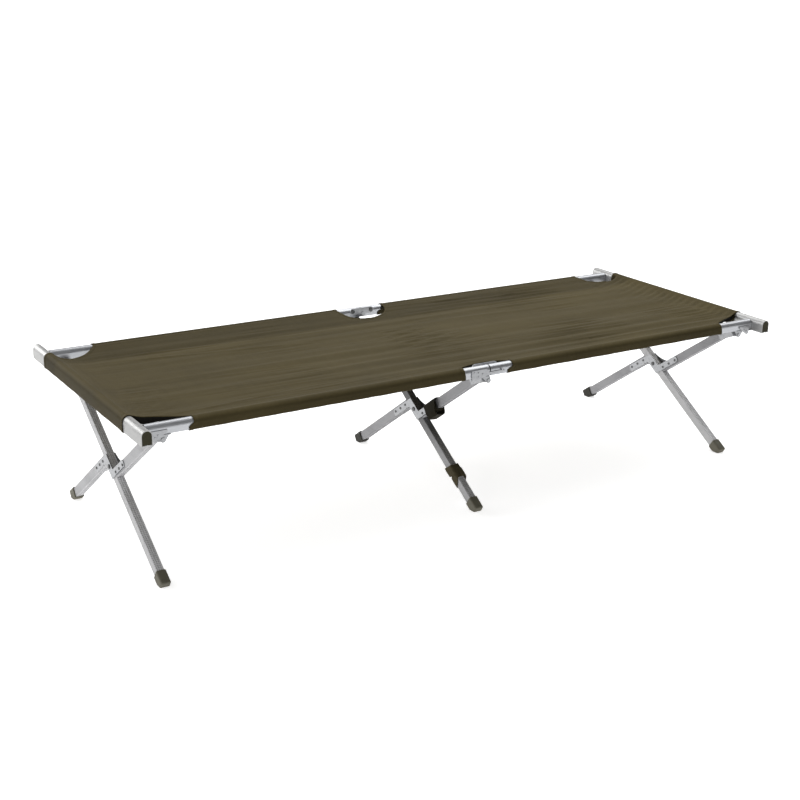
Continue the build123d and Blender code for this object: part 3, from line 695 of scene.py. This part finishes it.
def on_sheet(points, lift=CLOTH / 2):
    """The points raised to the cloth's upper face, or to another lift from its middle surface."""
    xs = np.array([p[0] for p in points], float)
    ys = np.array([p[1] for p in points], float)
    return list(zip(xs, ys, sheet_height(xs, ys) + lift))


def hem_band(name, path):
    """A turned hem along the sheet's cut edge, as a thin welt on the cloth."""
    section = ((0.0, 0.15), (1.2, 0.80), (7.6, 0.72), (9.0, 0.05))
    verts = []
    for p, inward in path:
        for inset, lift in section:
            verts += on_sheet([p + inward * inset], CLOTH / 2 + lift)
    return new_object(name, verts, grid_faces(len(path), len(section) - 1), CANVAS)


def flap(name, path, first, last):
    """The hem's underside, which hangs from a cutout's edge and is coloured near-black as painted shade:
    its drop goes from first to last.
    """
    verts = []
    rows = 5
    n = len(path)
    for i, (p, inward) in enumerate(path):
        top = on_sheet([p], -CLOTH / 2)[0][2]
        f = i / (n - 1)
        drop = first + (last - first) * f + 1.2 * sin(9 * f) * min(1.0, 8 * f, 8 * (1 - f))
        for k in range(rows):
            q = p + inward * (1.0 + 2.5 * sin(pi * k / (rows - 1)) + 0.5 * sin(14 * f))
            verts.append((q.x, q.y, top - drop * k / (rows - 1)))
    return thicken(new_object(name, verts, grid_faces(n, rows - 1), UNDERSIDE_PAINTED_SHADE), 0.6)


# body, and where each length of the bed cloth starts and stops
BEDS = {
    "left": ("front_left", -SHEET_X, -LINK_X),
    "middle": ("link_front", -LINK_X, LINK_X),
    "right": ("front_right", LINK_X, SHEET_X),
}
SEAM_Y = 268.0  # the long seams beside the rails
END_SEAM_IN = 26.0  # from the sheet's end to the seam across it
END_SEAM_Y = (-256.0, 268.0)
# the stretches of each length's edge that no sleeve holds, and how far the flap hangs at their two ends
FREE_EDGES = {
    "left": ((-SHEET_X, SLEEVE_ENDS["left"][0]), (SLEEVE_ENDS["left"][1], -LINK_X)),
    "middle": ((-LINK_X, LINK_X),),
    "right": ((LINK_X, SLEEVE_ENDS["right"][0]), (SLEEVE_ENDS["right"][1], SHEET_X)),
}
FLAP_DROPS = {
    "left": ((19.0, 5.0), (5.0, 9.0)),
    "middle": ((9.0, 9.0),),
    "right": ((9.0, 5.0), (5.0, 14.0)),
}


def spans(xs, side):
    """Index ranges of xs where the long seam clears the sheet's edge."""
    clear = [half_width(x, side) > SEAM_Y + 12 for x in xs]
    starts = [i for i, c in enumerate(clear) if c and (i == 0 or not clear[i - 1])]
    stops = [i + 1 for i, c in enumerate(clear) if c and (i == len(clear) - 1 or not clear[i + 1])]
    return [(a, b) for a, b in zip(starts, stops) if b - a > 2]


for name, (body, start, stop) in BEDS.items():
    cloth = sheet(f"bed_cloth_{name}", start, stop)
    xs = stations(start, stop, 9.0)
    trim = []
    for side, word in ((-1, "front"), (1, "back")):
        rows = [on_sheet([(x, side * SEAM_Y) for x in xs[a:b]]) for a, b in spans(xs, side)]
        for k, (a, b) in enumerate(FREE_EDGES[name]):
            path = edge_path(a, b, side)
            trim.append(hem_band(f"bed_hem_{word}_{name}_{k}", path))
            trim.append(flap(f"bed_flap_{word}_{name}_{k}", path, *FLAP_DROPS[name][k]))
            rows.append(on_sheet([tuple(p + inward * 6.2) for p, inward in path], CLOTH / 2 + 0.75))
        for k, row in enumerate(rows):
            trim.append(stitches(f"bed_stitch_{word}_{name}_{k}", row))
    if name != "middle":
        x = (SHEET_X - END_SEAM_IN) * (1 if name == "right" else -1)
        row = on_sheet([(x, y) for y in np.linspace(*END_SEAM_Y, 90)])
        trim.append(stitches(f"bed_stitch_end_{name}", row))
        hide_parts(f"canvas_{name}")
    for piece in (cloth, *trim):
        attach(piece, body)
        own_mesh(piece)
    widths = [half_width(x, -1) + half_width(x, 1) for x in np.linspace(start, stop, 801)]

for side, sy in (("front", -1), ("back", 1)):
    for end in ("left", "right"):
        profile = sleeve_profile(sy * RAIL_Y, RAIL_HALF, RAIL_BOTTOM, RAIL_TOP, sy)
        start, stop = SLEEVE_ENDS[end]
        seed, skew = 3 + len(side) + len(end), RAIL_SKEW[end]
        piece = sleeve(f"rail_sleeve_{side}_{end}", profile, start, stop, "X", seed, skew)
        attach(piece, f"{side}_{end}")
        perimeter(profile) * MM
for end, sx in (("left", -1), ("right", 1)):
    profile = sleeve_profile(sx * BAR_X, BAR_HALF, BAR_BOTTOM, BAR_TOP, sx)
    piece = sleeve(f"end_sleeve_{end}", profile, *END_SLEEVE, "Y", 11 + len(end))
    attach(piece, f"bar_{end}")
    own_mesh(piece)
    perimeter(profile) * MM


# ---------------------------------------------------------------- webbing straps

STRAP_THICK = 1.7
STRAP_POINTS = 61
LEG_B_DROP = 24.5  # the cranked leg's upper half lies this far below its line through the cross pin


def leg_point(leg, s, t, x):
    """A point by its distance up a middle leg, down from its axis, and along the bed."""
    angle = LEG_A_ANGLE if leg == "a" else LEG_B_ANGLE
    way = 1 if leg == "a" else -1
    y = way * (s * cos(angle) + t * sin(angle))
    return Vector((x, y, CROSS_Z + s * sin(angle) - t * cos(angle)))


def loop_path(half_x, half_t, corner, count):
    """Points and outward ways round a rounded rectangle, starting at the top of its -X side."""
    out = []
    corners = ((-half_x, -half_t), (half_x, -half_t), (half_x, half_t), (-half_x, half_t))
    starts = (pi, 1.5 * pi, 0.0, 0.5 * pi)
    ring = []
    for (cx, ct), a0 in zip(corners, starts):
        ix = cx + (corner if cx < 0 else -corner)
        it = ct + (corner if ct < 0 else -corner)
        for a in np.linspace(a0, a0 + pi / 2, 7):
            ring.append((ix + corner * cos(a), it + corner * sin(a), cos(a), sin(a)))
    ring.append(ring[0])
    lengths = [0.0]
    for p, q in zip(ring, ring[1:]):
        lengths.append(lengths[-1] + sqrt((p[0] - q[0]) ** 2 + (p[1] - q[1]) ** 2))
    for d in np.linspace(0, lengths[-1], count):
        k = max(i for i in range(len(lengths) - 1) if lengths[i] <= d + 1e-9)
        f = (d - lengths[k]) / max(lengths[k + 1] - lengths[k], 1e-9)
        p, q = ring[k], ring[k + 1]
        out.append(tuple(p[i] * (1 - f) + q[i] * f for i in range(4)))
    return out


def webbing(name, leg, centre_t, path, s_of, width, material):
    """A strip of webbing along path round a middle leg, whose tube is centre_t below its line.

    Its place up the leg is s_of(share of the path).
    """
    cols = 9
    verts = []
    n = len(path)
    for i, (x, t, nx, nt) in enumerate(path):
        f = i / (n - 1)
        for j in range(cols):
            v = (j / (cols - 1) - 0.5) * 2
            s = s_of(f) + v * width / 2
            cup = 0.35 * (1 - v * v) + 0.12 * sin(9 * f + 3 * v)
            verts.append(tuple(leg_point(leg, s, centre_t + t + nt * cup, x + nx * cup)))
    obj = thicken(new_object(name, verts, grid_faces(n, cols - 1), material), STRAP_THICK)
    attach(obj, f"leg_{leg}_middle")
    return obj


# a strap wound twice round the straight leg, one turn over the other, and its loose end
inner = loop_path(11.2, 14.1, 3.0, STRAP_POINTS)
outer = loop_path(13.0, 15.9, 3.6, STRAP_POINTS)
tail = [(x * 1.14, t * 1.1, nx, nt) for x, t, nx, nt in outer[8:30]]
leg_strap = webbing("leg_strap_wrap_lower", "a", 0.0, inner,
                    lambda f: -247.0 + 9 * sin(2 * pi * f + 0.6), 30.0, OLIVE_WEBBING)
webbing("leg_strap_wrap_upper", "a", 0.0, outer,
        lambda f: -222.0 - 8 * sin(2 * pi * f + 0.9), 30.0, OLIVE_WEBBING)
webbing("leg_strap_tail", "a", 0.0, tail, lambda f: -236.0 - 20 * f, 27.0, OLIVE_WEBBING)
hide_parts("leg_strap")

# a strap bundled at the cranked leg's cross plates, with a slack loop over it
snug = loop_path(16.4, 14.3, 3.6, STRAP_POINTS)
slack = [(x * 1.15, t + (12.0 if t > 0 else 0.0) * max(0.0, nt) + 3.0 * abs(nx), nx, nt)
         for x, t, nx, nt in loop_path(16.6, 15.2, 6.0, STRAP_POINTS)]
# its near-black webbing is painted shade on olive webbing
cross_strap = webbing("cross_strap_wrap", "b", LEG_B_DROP, snug,
                      lambda f: 84.0 + 7 * sin(2 * pi * f + 2.2), 60.0, WEBBING_PAINTED_SHADE)
webbing("cross_strap_loop", "b", LEG_B_DROP, slack,
        lambda f: 90.0 - 12 * cos(2 * pi * f - 3.6), 46.0, WEBBING_PAINTED_SHADE)
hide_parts("cross_strap")


# ---------------------------------------------------------------- camera, light and floor

EYE = Vector((-1.9139, -2.9382, 1.4101))
YAW, PITCH, ROLL = radians(57.709), radians(-18.762), radians(1.054)
SENSOR, LENS = 36.0, 60.19
ahead = Vector((cos(PITCH) * cos(YAW), cos(PITCH) * sin(YAW), sin(PITCH)))
right = ahead.cross(Vector((0, 0, 1))).normalized()
up = right.cross(ahead)
cam_x = cos(ROLL) * right + sin(ROLL) * up
cam_y = cos(ROLL) * up - sin(ROLL) * right
data = bpy.data.cameras.new("camera")
data.sensor_width = SENSOR
data.lens = LENS
camera = bpy.data.objects.new("camera", data)
bpy.context.scene.collection.objects.link(camera)
camera.matrix_world = Matrix.Translation(EYE) @ Matrix((cam_x, cam_y, -ahead)).transposed().to_4x4()
bpy.context.scene.camera = camera


def area_light(name, at, target, size, power):
    """A soft light that faces target."""
    light = bpy.data.lights.new(name, "AREA")
    light.shape = "RECTANGLE"
    light.size, light.size_y = size
    light.energy = power
    obj = bpy.data.objects.new(name, light)
    bpy.context.scene.collection.objects.link(obj)
    obj.location = at
    way = Vector(target) - Vector(at)
    obj.rotation_euler = way.to_track_quat("-Z", "Y").to_euler()


area_light("top_soft", (1.6, 0.9, 2.9), (0.3, 0, 0.3), (3.6, 2.4), 56)
area_light("back_left", (-2.0, 3.4, 1.7), (0, 0, 0.3), (2.6, 1.6), 54)
area_light("front_fill", (-1.2, -3.8, 2.0), (0, 0, 0.3), (3.0, 1.8), 7)
area_light("low_left", (-3.4, -2.4, 1.0), (-0.9, 0, 0.2), (1.4, 0.9), 20)

# the studio is brighter towards the back than behind the camera
world = bpy.data.worlds.new("studio")
world.use_nodes = True
tree = world.node_tree
direction = tree.nodes.new("ShaderNodeTexCoord").outputs["Generated"]
parts = tree.nodes.new("ShaderNodeSeparateXYZ")
tree.links.new(direction, parts.inputs[0])
glow = tree.nodes.new("ShaderNodeMapRange")
glow.interpolation_type = "SMOOTHSTEP"
for name, value in (("From Min", -0.9), ("From Max", 0.9), ("To Min", 0.22), ("To Max", 0.70)):
    glow.inputs[name].default_value = value
tree.links.new(parts.outputs["Y"], glow.inputs["Value"])
tree.links.new(glow.outputs["Result"], tree.nodes["Background"].inputs["Strength"])
tree.nodes["Background"].inputs["Color"].default_value = (1, 1, 1, 1)
bpy.context.scene.world = world
bpy.context.scene.view_settings.view_transform = "Standard"

floor_mesh = bpy.data.meshes.new("floor")
FAR = 90.0  # half the floor's width
corners = [(-FAR, -FAR, 0), (FAR, -FAR, 0), (FAR, FAR, 0), (-FAR, FAR, 0)]
floor_mesh.from_pydata(corners, [], [(0, 1, 2, 3)])
floor = bpy.data.objects.new("floor", floor_mesh)
bpy.context.scene.collection.objects.link(floor)
paint = Nodes("studio_floor", (0.93, 0.93, 0.93), 0.9)
dull, bright = (0.92, 0.92, 0.92), (0.95, 0.95, 0.95)
paint.into(paint.ramp(paint.noise(2.0, 2.0), (0.3, dull), (0.7, bright)), "Base Color")
paint.set("Emission Color", (1, 1, 1, 1))
paint.set("Emission Strength", 0.66)
floor_mesh.materials.append(paint.mat)
